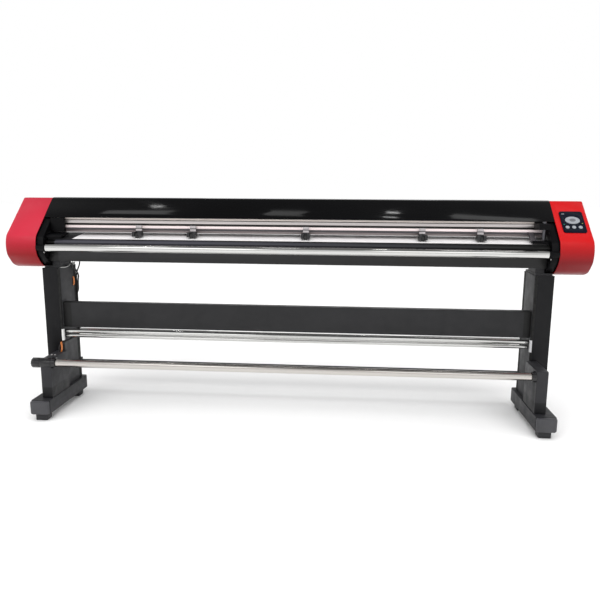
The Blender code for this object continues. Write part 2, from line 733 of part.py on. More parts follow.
def make_foot(side):
    name = side_name(side)
    x = side_span(side, FOOT_X)
    corner = FOOT_CORNER
    plan = rounded(x, FOOT_Y, (0, 0, corner, corner))
    beam = prism(name + "_foot_beam", "Z", plan, FOOT_Z[0], FOOT_Z[1], STAND_PAINT)
    hollow_x = (x[0] + STEEL_WALL, x[1] - STEEL_WALL)
    inner = corner - STEEL_WALL
    hollow = rounded(hollow_x, (FOOT_Y[0] - 0.01, FOOT_Y[1] - STEEL_WALL), (0, 0, inner, inner))
    hollow_z = (FOOT_Z[0] + STEEL_WALL, FOOT_Z[1] - STEEL_WALL)
    cut(beam, prism("foot_hollow", "Z", hollow, *hollow_z))
    cap_y = (CAP_FRONT_Y, FOOT_Y[0] - RUNNING_GAP)
    cap = rounded(x, cap_y, (corner, corner, 0, 0))
    prism("foot_cap_" + name, "Z", cap, FOOT_Z[0], FOOT_Z[1], CAP_GREY)
    for end, y in zip(("front", "rear"), LEVELLER_Y):
        centre = (side * LEVELLER_X, y)
        hole = LEVELLER_SCREW + RUNNING_GAP
        drill(beam, "Z", centre, hole, FOOT_Z[0] - 0.006, FOOT_Z[0] + 0.009, segments=24)
        pad_x = (centre[0] - PAD_HALF_X, centre[0] + PAD_HALF_X)
        pad_y = (y - PAD_HALF_Y, y + PAD_HALF_Y)
        rings = []
        for height, shrink in ((0.0, 0.002), (0.003, 0.0), (PAD_HEIGHT, 0.0)):
            plan = offset(rounded(pad_x, pad_y, (0.004,) * 4, steps=3), shrink)
            rings.append([(px, py, height) for px, py in plan])
        pad = loft(f"levelling_foot_{end}_{name}", rings, BLACK, origin=(*centre, 0))
        nut_top = FOOT_Z[0] - 0.0005
        steps = [
            (PAD_HEIGHT - 0.003, 0.0100),
            (nut_top, 0.0100),
            (nut_top, LEVELLER_SCREW),
            (FOOT_Z[0] + 0.0160, LEVELLER_SCREW),
        ]
        join(pad, turned("levelling_stud", "Z", centre, steps, segments=24))


def make_lower_box(side, top):
    x = side_span(side, BOX_X)
    outline = rounded(BOX_Y, (BOX_BOTTOM, top), (0.004, 0, 0, 0.004))
    name = side_name(side) + "_lower_box"
    shell = prism(name, "X", outline, x[0], x[1], STAND_PAINT)
    inside_x = (x[0] + STEEL_WALL, x[1] - STEEL_WALL)
    inside_y = (BOX_Y[0] + STEEL_WALL, BOX_Y[1] - STEEL_WALL)
    cut(shell, box("box_inside", inside_x, inside_y, (BOX_BOTTOM - 0.010, top - STEEL_WALL)))
    if side > 0:
        drill(shell, "X", TAKE_UP_AXIS, TAKE_UP_SHAFT + RUNNING_GAP, 0.990, 1.020)
        return
    y, z = TAKE_UP_AXIS
    drill(shell, "X", TAKE_UP_AXIS, DRIVE_RADIUS + RUNNING_GAP, -1.080, -0.980, segments=48)
    cut(shell, box("drive_corner", (-1.080, -0.980), (y - 0.040, y), (z, top + 0.010)))


def make_stand():
    for side in (-1, 1):
        make_column(side)
        make_foot(side)
    make_lower_box(-1, LEFT_BOX_TOP)
    make_lower_box(1, RIGHT_BOX_TOP)
    beam_outline = rounded(BEAM_Y, BEAM_Z, (0.003,) * 4, steps=2)
    hollow_prism("cross_beam", "X", beam_outline, 0.0022, -BEAM_END, BEAM_END, STAND_PAINT)
    pinned_rod("guide_rod_upper", UPPER_ROD_AXIS, 0.009, ROD_END, PIN_RADIUS, 0.006, CHROME)
    pinned_rod("guide_rod_lower", LOWER_ROD_AXIS, 0.0075, ROD_END, PIN_RADIUS, 0.006, CHROME)
    pinned_rod("rear_upper_roller", UPPER_ROLLER_AXIS, 0.017, 1.0380, 0.005, 0.007, CHROME)
    pinned_rod("rear_lower_roller", LOWER_ROLLER_AXIS, 0.016, 1.0380, 0.005, 0.007, STAND_PAINT)


def make_take_up():
    shaft = TAKE_UP_SHAFT
    plug = TUBE_END - 0.010
    bore = 0.003
    inner = TUBE_RADIUS - TUBE_WALL
    left_end = -1.081
    right_end = 1.018
    steps = [
        (left_end, shaft),
        (-TUBE_END, shaft),
        (-TUBE_END, TUBE_RADIUS),
        (TUBE_END, TUBE_RADIUS),
        (TUBE_END, shaft),
        (right_end, shaft),
        (right_end, bore),
        (plug, bore),
        (plug, inner),
        (-plug, inner),
        (-plug, bore),
        (left_end, bore),
    ]
    turned("take_up_tube", "X", TAKE_UP_AXIS, steps, CHROME, loop=True, origin=(0, *TAKE_UP_AXIS))
    hole = shaft + RUNNING_GAP
    start, end = DRIVE_X
    steps = [(start, DRIVE_RADIUS), (end, DRIVE_RADIUS), (end, hole), (start, hole)]
    turned("take_up_motor", "X", TAKE_UP_AXIS, steps, STAND_PAINT, segments=48, loop=True)
    make_knob(hole)


def make_knob(bore):
    flutes = 12
    segments = flutes * 4
    rings = []
    for x, shrink in ((-1.0525, 0.001), (-1.0545, 0.0), (-1.0855, 0.0), (-1.0885, 0.003)):
        ring = []
        for i in range(segments):
            angle = 2 * math.pi * i / segments
            radius = 0.0212 + 0.0009 * math.cos(flutes * angle) - shrink
            y = TAKE_UP_AXIS[0] + radius * math.cos(angle)
            z = TAKE_UP_AXIS[1] + radius * math.sin(angle)
            ring.append((x, y, z))
        rings.append(ring)
    knob = loft("take_up_knob", rings, BLACK, origin=(-1.070, *TAKE_UP_AXIS))
    drill(knob, "X", TAKE_UP_AXIS, bore, -1.0845, -1.040)


def make_take_up_lead():
    """The motor's cable, from the underside of the head down the left column to the left box."""
    corners = [
        (-0.990, 0.140, 0.6550),
        (-0.990, 0.140, 0.6285),
        (-1.0120, 0.146, 0.5835),
        (-1.0120, 0.146, 0.3135),
        (-1.0120, 0.110, 0.2930),
        (-1.0120, -0.012, 0.2930),
        (-1.0245, -0.036, 0.2860),
        (-1.0245, -0.038, 0.2565),
    ]
    points = smooth_route(corners, 0.4)
    curve = bpy.data.curves.new("take_up_lead", "CURVE")
    curve.dimensions = "3D"
    curve.bevel_depth = 0.003
    curve.bevel_resolution = 2
    curve.use_fill_caps = True
    spline = curve.splines.new("POLY")
    spline.points.add(len(points) - 1)
    for place, point in zip(spline.points, points):
        place.co = (*point, 1.0)
    spline.use_smooth = True
    lead = bpy.data.objects.new("take_up_lead", curve)
    bpy.context.collection.objects.link(lead)
    curve.materials.append(own_material("take_up_lead", DARK_RUBBER))


def smooth_route(corners, share, steps=4):
    """The corners of a route rounded by quadratic arcs, each reaching this share of the shorter leg."""
    corners = [Vector(corner) for corner in corners]
    points = [corners[0]]
    for before, here, after in zip(corners, corners[1:], corners[2:]):
        reach = share * min((before - here).length, (after - here).length)
        start = here + (before - here).normalized() * reach
        end = here + (after - here).normalized() * reach
        for i in range(steps + 1):
            t = i / steps
            points.append(start * (1 - t) ** 2 + here * 2 * t * (1 - t) + end * t**2)
    points.append(corners[-1])
    return points


def main():
    clear_scene()
    covers = make_head()
    make_rail()
    make_feed()
    for index, x in enumerate(PINCH_CENTRES, start=1):
        make_pinch_roller(index, x)
    make_lift_lever()
    make_carriage()
    make_belt_drive()
    make_panel(covers[1])
    make_power(covers[-1])
    make_stand()
    make_take_up()
    make_take_up_lead()


main()
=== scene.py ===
import math

import bmesh
import bpy
from mathutils import Matrix, Vector


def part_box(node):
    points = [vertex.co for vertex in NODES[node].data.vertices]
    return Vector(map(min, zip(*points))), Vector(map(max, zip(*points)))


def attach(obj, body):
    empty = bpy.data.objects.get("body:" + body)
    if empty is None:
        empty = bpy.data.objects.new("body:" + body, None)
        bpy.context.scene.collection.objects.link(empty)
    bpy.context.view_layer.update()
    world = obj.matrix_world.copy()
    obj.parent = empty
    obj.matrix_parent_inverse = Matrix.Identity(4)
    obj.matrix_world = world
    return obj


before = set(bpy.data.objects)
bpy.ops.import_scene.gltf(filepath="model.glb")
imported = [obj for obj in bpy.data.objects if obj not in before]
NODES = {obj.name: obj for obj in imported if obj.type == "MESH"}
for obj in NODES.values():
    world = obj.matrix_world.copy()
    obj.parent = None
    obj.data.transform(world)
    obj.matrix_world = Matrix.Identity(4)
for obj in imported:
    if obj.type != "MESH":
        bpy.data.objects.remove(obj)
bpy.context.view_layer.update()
ROOT = "machine"
LOW, HIGH = 0, 1
X, Y, Z = 0, 1, 2


def box_face(node, end, axis):
    """Where a face of a node's box lies at rest, to a tenth of a millimetre."""
    return round(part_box(node)[end][axis], 4)


def box_middle(node, axis):
    return round((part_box(node)[LOW][axis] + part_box(node)[HIGH][axis]) / 2, 4)


# Places that the added pieces start from. What is on both sides has its x given for the right side
PLATE_FACE = box_face("head_tube", HIGH, X)  # the head tube runs from one side plate to the other
PLATEN_END = box_face("platen", HIGH, X)
COVER_SIDE = box_face("right_end_cover", HIGH, X)
COLUMN_FACE = box_face("right_column", LOW, X)
LOWER_BOX_FACE = box_face("right_lower_box", LOW, X)
LEFT_BOX_TOP = box_face("left_lower_box", HIGH, Z)
TUBE_AXIS = (box_middle("take_up_tube", Y), box_middle("take_up_tube", Z))
SLOPE_TOP = Vector((0, 0.122, 0.9285))  # the right cover's slope, from its upper edge down to the nose
SLOPE_FOOT = Vector((0, -0.045, 0.7735))
TABLE_LEFT = -0.946  # the light part of the media table starts here
PLATEN_INSIDE = 0.9900  # the platen's end blocks reach inwards to here
SHADE_STRIP_BOTTOM, SHADE_STRIP_TOP = 0.0880, 0.6240  # heights of the black strips of painted shade in the columns

SIDES = ((-1, "left"), (1, "right"))
EDGE_ANGLE = 48  # CAD corners sharper than this, in degrees, are rounded; gentler ones are shaded smooth
PIECE_EDGE_ANGLE = 35  # the same for the added pieces that have rounded edges

# The camera stands at the operator's side, a little right of the middle, and looks slightly down
CAMERA_PLACE = (0.24007, -2.52786, 0.95820)
CAMERA_YAW = 0.0780833
CAMERA_PITCH = 0.1772627
CAMERA_ROLL = 0.0060548


def add_camera():
    forward = Vector(
        (
            -math.sin(CAMERA_YAW) * math.cos(CAMERA_PITCH),
            math.cos(CAMERA_YAW) * math.cos(CAMERA_PITCH),
            -math.sin(CAMERA_PITCH),
        )
    )
    level = Vector((math.cos(CAMERA_YAW), math.sin(CAMERA_YAW), 0))
    above = level.cross(forward)
    right = math.cos(CAMERA_ROLL) * level + math.sin(CAMERA_ROLL) * above
    up = -math.sin(CAMERA_ROLL) * level + math.cos(CAMERA_ROLL) * above
    data = bpy.data.cameras.new("view")
    data.lens = 36
    data.sensor_width = 36
    data.clip_end = 100
    camera = bpy.data.objects.new("view", data)
    place = Matrix((right, up, -forward)).transposed().to_4x4()
    place.translation = CAMERA_PLACE
    camera.matrix_world = place
    bpy.context.scene.collection.objects.link(camera)
    bpy.context.scene.camera = camera


# ---------------------------------------------------------------- materials


class Paint:
    """A Principled material with a few procedural layers added one call at a time."""

    PATCH_DETAIL = 4.0

    def __init__(self, name, color, metallic=0.0, roughness=0.5, **sockets):
        self.material = bpy.data.materials.new(name)
        self.material.use_nodes = True
        self.nodes = self.material.node_tree.nodes
        self.links = self.material.node_tree.links
        self.shader = self.nodes["Principled BSDF"]
        self.color = color
        self.set("Base Color", (*color, 1))
        self.set("Metallic", metallic)
        self.set("Roughness", roughness)
        for socket, value in sockets.items():
            self.set(socket.replace("_", " "), value)

    def set(self, socket, value):
        self.shader.inputs[socket].default_value = value

    def add(self, kind, **values):
        node = self.nodes.new(kind)
        for key, value in values.items():
            if key in node.inputs:
                node.inputs[key].default_value = value
            else:
                setattr(node, key, value)
        return node

    def link(self, start, end):
        self.links.new(start, end)

    def place(self, stretch=(1, 1, 1)):
        coords = self.add("ShaderNodeTexCoord")
        mapping = self.add("ShaderNodeMapping", Scale=stretch)
        self.link(coords.outputs["Object"], mapping.inputs["Vector"])
        return mapping.outputs["Vector"]

    def noise(self, scale, detail, stretch):
        node = self.add("ShaderNodeTexNoise", Scale=scale, Detail=detail)
        self.link(self.place(stretch), node.inputs["Vector"])
        return node.outputs["Fac"]

    def spread(self, fac, low, high, start=0.3, end=0.7):
        node = self.add("ShaderNodeMapRange")
        for key, value in (("From Min", start), ("From Max", end), ("To Min", low), ("To Max", high)):
            node.inputs[key].default_value = value
        self.link(fac, node.inputs["Value"])
        return node.outputs["Result"]

    def mix(self, fac, first, second):
        """Mixes two colours, each a value or an output, by fac."""
        node = self.add("ShaderNodeMix", data_type="RGBA")
        self.link(fac, node.inputs[0])
        for socket, value in ((node.inputs[6], first), (node.inputs[7], second)):
            if isinstance(value, (tuple, list)):
                socket.default_value = (*value, 1)
            else:
                self.link(value, socket)
        return node.outputs[2]

    def tint(self, fac, color):
        """Lets another colour take over from the present one, as far as fac says."""
        base = self.shader.inputs["Base Color"]
        first = base.links[0].from_socket if base.links else self.color
        self.link(self.mix(fac, first, color), base)
        return self

    def mottle(self, other, scale, amount, stretch=(1, 1, 1)):
        """Lets another colour show through in soft patches."""
        return self.tint(self.spread(self.noise(scale, self.PATCH_DETAIL, stretch), *amount), other)

    def rough(self, low, high, scale, stretch=(1, 1, 1)):
        fac = self.spread(self.noise(scale, self.PATCH_DETAIL, stretch), low, high)
        self.link(fac, self.shader.inputs["Roughness"])
        return self

    def bump(self, scale, strength, depth, stretch=(1, 1, 1), detail=2.0):
        node = self.add("ShaderNodeBump", Strength=strength, Distance=depth)
        self.link(self.noise(scale, detail, stretch), node.inputs["Height"])
        normal = self.shader.inputs["Normal"]
        if normal.links:
            self.link(normal.links[0].from_socket, node.inputs["Normal"])
        self.link(node.outputs["Normal"], normal)
        return self

    def axis(self, index):
        coords = self.add("ShaderNodeTexCoord")
        split = self.add("ShaderNodeSeparateXYZ")
        self.link(coords.outputs["Object"], split.inputs["Vector"])
        return split.outputs[index]

    def shade(self, index, start, end, color):
        """Fades towards another colour as the coordinate goes from start to end."""
        return self.tint(self.spread(self.axis(index), 0.0, 1.0, start, end), color)

    def band(self, index, start, end, color):
        """Paints the part whose coordinate lies between start and end in another colour."""
        value = self.axis(index)
        above = self.add("ShaderNodeMath", operation="GREATER_THAN")
        below = self.add("ShaderNodeMath", operation="LESS_THAN")
        both = self.add("ShaderNodeMath", operation="MULTIPLY")
        self.link(value, above.inputs[0])
        above.inputs[1].default_value = start
        self.link(value, below.inputs[0])
        below.inputs[1].default_value = end
        self.link(above.outputs[0], both.inputs[0])
        self.link(below.outputs[0], both.inputs[1])
        return self.tint(both.outputs[0], color)


def red_plastic(name, color, low):
    """Satin red with painted shade: darker towards the underside of the nose."""
    paint = Paint(name, color, roughness=0.34, Specular_IOR_Level=0.22)
    paint.mottle(tuple(c * 0.86 for c in color), scale=5, amount=(0.0, 0.6))
    # Painted shade: below the nose the red fades into the darker low colour
    paint.shade(Z, 0.775, 0.690, low)
    return paint.rough(0.30, 0.42, scale=30).bump(900, 0.12, 0.0002).material


def hood_black():
    paint = Paint("hood_black", (0.0015, 0.0015, 0.0018), roughness=0.1, Specular_IOR_Level=0.2)
    paint.mottle((0.0032, 0.0032, 0.0036), scale=3, amount=(0.0, 0.8))
    return paint.rough(0.07, 0.11, scale=9).bump(5, 0.02, 0.0003).material


def moulded_black(name="moulded_black", color=(0.010, 0.010, 0.012), low=0.42, high=0.6, sheen=0.4):
    paint = Paint(name, color, roughness=0.5, Specular_IOR_Level=sheen)
    paint.mottle(tuple(c * 1.6 for c in color), scale=14, amount=(0.0, 0.8))
    return paint.rough(low, high, scale=40).bump(1100, 0.35, 0.0002).material


def powder_coat(name="powder_coat", color=(0.017, 0.017, 0.019), sheen=0.3):
    paint = Paint(name, color, roughness=0.5, Specular_IOR_Level=sheen)
    paint.mottle(tuple(c * 1.5 for c in color), scale=6, amount=(0.0, 0.8))
    paint.rough(0.42, 0.6, scale=25)
    return paint.bump(1400, 0.5, 0.00025, detail=1.0)


def column_paint():
    """Dark grey, with the front faces painted darker, as the photograph's light falls off there."""
    paint = powder_coat("column_paint", (0.030, 0.030, 0.032), 0.2)
    return paint.band(Y, -0.012, -0.0094, (0.006, 0.006, 0.007)).material


def beam_paint():
    paint = powder_coat("beam_paint", (0.012, 0.012, 0.013))
    # Painted shade: both ends of the beam are painted darker
    paint.band(X, -1.1, -0.979, (0.006, 0.006, 0.006))
    return paint.band(X, 0.985, 1.1, (0.006, 0.006, 0.006)).material


def box_paint():
    """Box panels whose lowest part is a separate skirt, painted darker as painted shade."""
    paint = powder_coat("box_paint")
    return paint.band(Z, 0.05, 0.1335, (0.008, 0.008, 0.009)).material


def chrome(name="chrome_tube", color=(0.66, 0.66, 0.645), low=0.06, high=0.12):
    paint = Paint(name, color, metallic=1.0, roughness=0.1)
    paint.mottle(tuple(c * 0.93 for c in color), scale=3, amount=(0.0, 0.7), stretch=(0.6, 4, 4))
    return paint.rough(low, high, scale=6, stretch=(0.5, 5, 5)).material


def rail_aluminium():
    paint = Paint("rail_aluminium", (0.96, 0.87, 0.81), metallic=0.1, roughness=0.42)
    paint.mottle((0.88, 0.79, 0.74), scale=3, amount=(0.0, 0.7), stretch=(0.3, 60, 60))
    # Painted shade: the recess under the rib is painted a darker brownish grey
    paint.band(Z, 0.7800, 0.7999, (0.26, 0.22, 0.22))
    paint.band(Z, 0.7999, 0.8108, (0.92, 0.80, 0.80))
    # Painted shade: the slot above the rib and the narrow groove higher up are painted near black
    paint.band(Z, 0.8113, 0.8203, (0.012, 0.011, 0.011))
    paint.band(Z, 0.8332, 0.8352, (0.03, 0.028, 0.028))
    paint.rough(0.30, 0.48, scale=3, stretch=(0.4, 90, 90))
    return paint.bump(4, 0.06, 0.0002, stretch=(0.4, 220, 220)).material


def bright_steel(name="bright_steel", color=(0.62, 0.58, 0.57), low=0.25, high=0.45, metallic=0.8):
    paint = Paint(name, color, metallic=metallic, roughness=0.3)
    paint.mottle(tuple(c * 0.75 for c in color), scale=5, amount=(0.0, 0.7), stretch=(0.5, 40, 40))
    return paint.rough(low, high, scale=5, stretch=(0.5, 60, 60)).material


def grit_steel():
    paint = Paint("grit_steel", (0.80, 0.79, 0.79), metallic=0.1, roughness=0.6)
    paint.mottle((0.62, 0.61, 0.62), scale=400, amount=(0.0, 1.0))
    # The roller's left end is black like the table's: partly the end moulding carried on, partly painted
    # shade
    paint.band(X, -1.1, TABLE_LEFT, (0.010, 0.010, 0.011))
    return paint.bump(1800, 0.8, 0.0004).material


def platen_paint():
    """Light grey table with a black front edge, and a black left end that is partly the end moulding carried
    on and partly painted shade.
    """
    paint = Paint("platen_paint", (0.86, 0.84, 0.84), roughness=0.42)
    paint.mottle((0.78, 0.76, 0.765), scale=4, amount=(0.0, 0.8), stretch=(0.5, 3, 3))
    paint.band(Y, -0.0190, -0.0150, (0.006, 0.006, 0.007))
    paint.band(X, -1.1, TABLE_LEFT, (0.006, 0.006, 0.007))
    return paint.rough(0.36, 0.5, scale=16).bump(900, 0.2, 0.0002).material


def apron_paint():
    """Dark paint with a lighter blue-grey rolled lip along the top. Painted shade: the apron darkens towards
    its foot, all of it darkens towards the right, and its left end is near black.
    """
    paint = Paint("apron_paint", (0.020, 0.020, 0.022), roughness=0.4, Specular_IOR_Level=0.3)
    paint.mottle((0.028, 0.028, 0.031), scale=5, amount=(0.0, 0.8), stretch=(0.4, 4, 4))
    # Painted shade: darker towards the foot
    paint.shade(Z, 0.690, 0.655, (0.010, 0.010, 0.010))
    paint.band(Z, 0.7270, 0.7600, (0.050, 0.050, 0.062))
    # Painted shade: darker towards the right, and near black at the left end
    paint.shade(X, -0.5, 0.9, (0.013, 0.013, 0.013))
    paint.band(X, -1.1, -1.020, (0.003, 0.003, 0.003))
    return paint.rough(0.32, 0.48, scale=18).bump(1200, 0.3, 0.0002).material


def rubber(name="black_rubber", color=(0.012, 0.012, 0.012)):
    paint = Paint(name, color, roughness=0.75)
    paint.mottle(tuple(c * 2.2 for c in color), scale=60, amount=(0.0, 0.8))
    return paint.rough(0.65, 0.85, scale=80).bump(1500, 0.5, 0.0003).material


def panel_navy():
    paint = Paint("panel_navy", (0.002, 0.003, 0.008), roughness=0.3, Specular_IOR_Level=0.15)
    paint.mottle((0.004, 0.006, 0.016), scale=12, amount=(0.0, 0.8))
    return paint.rough(0.24, 0.36, scale=30).bump(1500, 0.12, 0.0001).material


def silver_key(name="silver_key", color=(0.34, 0.355, 0.39)):
    paint = Paint(name, color, metallic=0.2, roughness=0.34, Specular_IOR_Level=0.3)
    paint.mottle(tuple(c * 0.8 for c in color), scale=60, amount=(0.0, 0.8))
    return paint.rough(0.28, 0.44, scale=90).bump(1800, 0.15, 0.0001).material


def plain_plastic(name, color, roughness=0.5):
    paint = Paint(name, color, roughness=roughness)
    paint.mottle(tuple(c * 0.8 for c in color), scale=40, amount=(0.0, 0.7))
    return paint.rough(roughness * 0.85, roughness * 1.15, scale=60).bump(1200, 0.2, 0.0002).material


def glowing(name, color, strength):
    paint = Paint(name, tuple(c * 0.5 for c in color), roughness=0.3)
    paint.set("Emission Color", (*color, 1))
    paint.set("Emission Strength", strength)
    return paint.bump(900, 0.1, 0.0001).material


def pinch_arm_paint():
    """Black forks under a light grey bracket with a dark slot."""
    paint = Paint("pinch_arm_paint", (0.008, 0.008, 0.009), roughness=0.45)
    paint.mottle((0.014, 0.014, 0.016), scale=70, amount=(0.0, 0.8))
    paint.band(Z, 0.7900, 0.8140, (0.42, 0.39, 0.40))
    paint.band(Z, 0.7990, 0.8030, (0.03, 0.03, 0.03))
    return paint.bump(1300, 0.35, 0.0002).material


PAINTS = {
    "red": red_plastic("red_plastic", (0.52, 0.004, 0.006), (0.20, 0.005, 0.008)),
    # The left cover's red is made pinker: painted sheen from overhead light
    "red_painted_sheen": red_plastic("red_plastic_painted_sheen", (0.50, 0.022, 0.045), (0.26, 0.005, 0.009)),
    "hood": hood_black(),
    "black": moulded_black(),
    # A darker copy of the moulded black, partly painted shade: for the side plates, the head's end blocks and
    # the carriage
    "plate": moulded_black("side_plate_black_and_shade", (0.0020, 0.0020, 0.0024), 0.3, 0.5, 0.1),
    "stand": powder_coat().material,
    "column": column_paint(),
    "beam": beam_paint(),
    "box": box_paint(),
    "drive": moulded_black("drive_black", (0.008, 0.008, 0.009), 0.18, 0.3, 0.5),
    "cap": powder_coat("cap_grey", (0.030, 0.030, 0.034), 0.6).material,
    "chrome": chrome(),
    "tube_steel": chrome("tube_steel", (0.60, 0.57, 0.54), 0.16, 0.26),
    "rail": rail_aluminium(),
    "steel": bright_steel(),
    "grit": grit_steel(),
    "platen": platen_paint(),
    "apron": apron_paint(),
    "rubber": rubber(),
    "navy": panel_navy(),
    "key": silver_key(),
    "arm": pinch_arm_paint(),
    "pad": silver_key("pad_centre", (0.17, 0.17, 0.19)),
    "holder": bright_steel("holder_steel", (0.10, 0.10, 0.11), 0.3, 0.5),
    "grey": plain_plastic("lever_grey", (0.05, 0.045, 0.05)),
    "white": plain_plastic("white_plastic", (0.72, 0.72, 0.71)),
    "pale": plain_plastic("pale_plastic", (0.50, 0.50, 0.51)),
    "orange": plain_plastic("orange_tag", (0.80, 0.22, 0.02)),
    "board": plain_plastic("circuit_green", (0.02, 0.13, 0.05)),
    "screw": bright_steel("screw_steel", (0.62, 0.61, 0.60), 0.25, 0.45),
    "green_light": glowing("green_light", (0.02, 0.30, 0.20), 0.5),
    "yellow_light": glowing("yellow_light", (0.28, 0.34, 0.06), 0.5),
    "wire": plain_plastic("wire_white", (0.62, 0.62, 0.60)),
    "shade_black": plain_plastic("shadow_line", (0.003, 0.003, 0.003), 0.8),
}

# ---------------------------------------------------------------- CAD nodes: rounded edges and a finish

# node name or its start: (material, edge rounding in metres)
FINISHES = {
    # Painted sheen: the left cover takes the pinker copy of the red
    "left_end_cover": ("red_painted_sheen", 0.0022),
    "right_end_cover": ("red", 0.0022),
    "left_side_plate": ("plate", 0.0012),
    "right_side_plate": ("plate", 0.0012),
    "hood": ("hood", 0.0008),
    "rear_cover": ("stand", 0.0006),
    "front_apron": ("apron", 0.0008),
    "platen": ("platen", 0.0005),
    "rail_beam": ("rail", 0.0005),
    "linear_rail": ("steel", 0.0005),
    "head_tube": ("chrome", 0.0006),
    "grit_roller": ("grit", 0.0004),
    "feed_pinion": ("steel", 0.0003),
    "feed_motor": ("black", 0.0008),
    "pinch_arm": ("arm", 0.0006),
    "pinch_wheel": ("rubber", 0.0),
    "lift_lever": ("grey", 0.0005),
    "carriage_motor": ("black", 0.0008),
    # Painted shade: the carriage takes the darker side-plate black
    "carriage": ("plate", 0.0010),
    "blade_holder": ("holder", 0.0003),
    "drive_belt": ("rubber", 0.0),
    "drive_pulley": ("steel", 0.0003),
    "idler_pulley": ("steel", 0.0003),
    "control_panel": ("navy", 0.0007),
    "navigation_pad": ("key", 0.0),
    "panel_button": ("key", 0.0),
    "control_board": ("board", 0.0),
    "power_inlet": ("black", 0.0004),
    "power_switch": ("black", 0.0005),
    "left_column": ("column", 0.0010),
    "right_column": ("column", 0.0010),
    "left_foot_beam": ("stand", 0.0020),
    "right_foot_beam": ("stand", 0.0020),
    "foot_cap": ("cap", 0.0075),
    "levelling_foot": ("black", 0.0008),
    "left_lower_box": ("box", 0.0012),
    "right_lower_box": ("box", 0.0012),
    "cross_beam": ("beam", 0.0004),
    "guide_rod": ("chrome", 0.0006),
    "rear_upper_roller": ("chrome", 0.0006),
    "rear_lower_roller": ("stand", 0.0006),
    "take_up_tube": ("tube_steel", 0.0006),
    "take_up_knob": ("drive", 0.0008),
    "take_up_motor": ("drive", 0.0012),
    "take_up_lead": ("rubber", 0.0),
}


def finish_node(name, obj):
    key = max((k for k in FINISHES if name.startswith(k)), key=len)
    paint, edge = FINISHES[key]
    obj.data.materials.clear()
    obj.data.materials.append(PAINTS[paint])
    for face in obj.data.polygons:
        face.material_index = 0
    if edge == 0:
        return
    weld = obj.modifiers.new("weld", "WELD")
    weld.merge_threshold = 0.00001
    flat = obj.modifiers.new("flat", "DECIMATE")
    flat.decimate_type = "DISSOLVE"
    flat.angle_limit = math.radians(1)
    bevel = obj.modifiers.new("edges", "BEVEL")
    bevel.width = edge
    bevel.segments = 3
    bevel.limit_method = "ANGLE"
    bevel.angle_limit = math.radians(EDGE_ANGLE)
    bevel.use_clamp_overlap = True
    bevel.harden_normals = True
    for face in obj.data.polygons:
        face.use_smooth = True
    obj.data.set_sharp_from_angle(angle=math.radians(EDGE_ANGLE))


for node_name, node in NODES.items():
    finish_node(node_name, node)

# ---------------------------------------------------------------- helpers for added pieces


def piece(name, bm, paint, body=ROOT, smooth_angle=40, bevel=0.0):
    """Makes the bmesh an object that moves with a body; bevel is the rounding of its edges in metres."""
    bmesh.ops.recalc_face_normals(bm, faces=bm.faces)
    mesh = bpy.data.meshes.new(name)
    bm.to_mesh(mesh)
    bm.free()
    for face in mesh.polygons:
        face.use_smooth = True
    mesh.set_sharp_from_angle(angle=math.radians(smooth_angle))
    mesh.materials.append(PAINTS[paint])
    obj = bpy.data.objects.new(name, mesh)
    bpy.context.scene.collection.objects.link(obj)
    if bevel:
        edges = obj.modifiers.new("edges", "BEVEL")
        edges.width = bevel
        edges.segments = 3
        edges.limit_method = "ANGLE"
        edges.angle_limit = math.radians(PIECE_EDGE_ANGLE)
    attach(obj, body)


def add_loft(bm, rings, loop=False):
    """Joins rings of points by faces, capped at both ends or, as a loop, closed on itself."""
    made = [[bm.verts.new(point) for point in ring] for ring in rings]
    pairs = list(zip(made, made[1:]))
    if loop:
        pairs.append((made[-1], made[0]))
    for ring, following in pairs:
        for i in range(len(ring)):
            j = (i + 1) % len(ring)
            bm.faces.new((ring[i], ring[j], following[j], following[i]))
    if not loop:
        bm.faces.new(made[0])
        bm.faces.new(made[-1])


def point_on(axis, along, a, b):
    return {"X": (along, a, b), "Y": (a, along, b), "Z": (a, b, along)}[axis]


def add_box(bm, x, y, z):
    corners = ((x[0], y[0]), (x[1], y[0]), (x[1], y[1]), (x[0], y[1]))
    add_loft(bm, [[(a, b, height) for a, b in corners] for height in z])


def add_turned(bm, axis, centre, steps, segments, loop=False):
    """A round body about an axis; each step is a place along the axis and a radius."""
    rings = []
    for along, radius in steps:
        ring = []
        for i in range(segments):
            angle = 2 * math.pi * (i + 0.5) / segments
            a = centre[0] + radius * math.cos(angle)
            b = centre[1] + radius * math.sin(angle)
            ring.append(point_on(axis, along, a, b))
        rings.append(ring)
    add_loft(bm, rings, loop)


def add_screw(bm, axis, centre, seat, out, radius, height):
    """A domed screw head with a round recess that stands out of its seat in the direction out (+1 or -1)."""
    steps = [(seat - out * 0.0005, radius), (seat + out * height * 0.35, radius)]
    steps += [(seat + out * height * 0.8, radius * 0.82), (seat + out * height, radius * 0.45)]
    steps += [(seat + out * height * 0.55, radius * 0.3)]
    add_turned(bm, axis, centre, steps, segments=16)


# ---------------------------------------------------------------- added pieces


def side_box(bm, side, x, y, z):
    """A box whose x is given for the right side, made on either side."""
    add_box(bm, sorted((side * x[0], side * x[1])), y, z)


def add_rod_holders():
    """Small angle plates at the columns' inner corners, in front of the ends of the two guide rods."""
    outline = [(1.0120, -0.0020), (1.0120, -0.0150), (1.0205, -0.0150)]
    outline += [(1.0205, -0.0112), (1.0155, -0.0112), (1.0155, -0.0020)]
    for (side, label), paint in zip(SIDES, ("white", "pale")):
        bm = bmesh.new()
        rings = [[(side * x, y, z) for x, y in outline] for z in (0.3020, 0.3530)]
        add_loft(bm, rings)
        piece(f"rod_holder_{label}", bm, paint, bevel=0.0010)


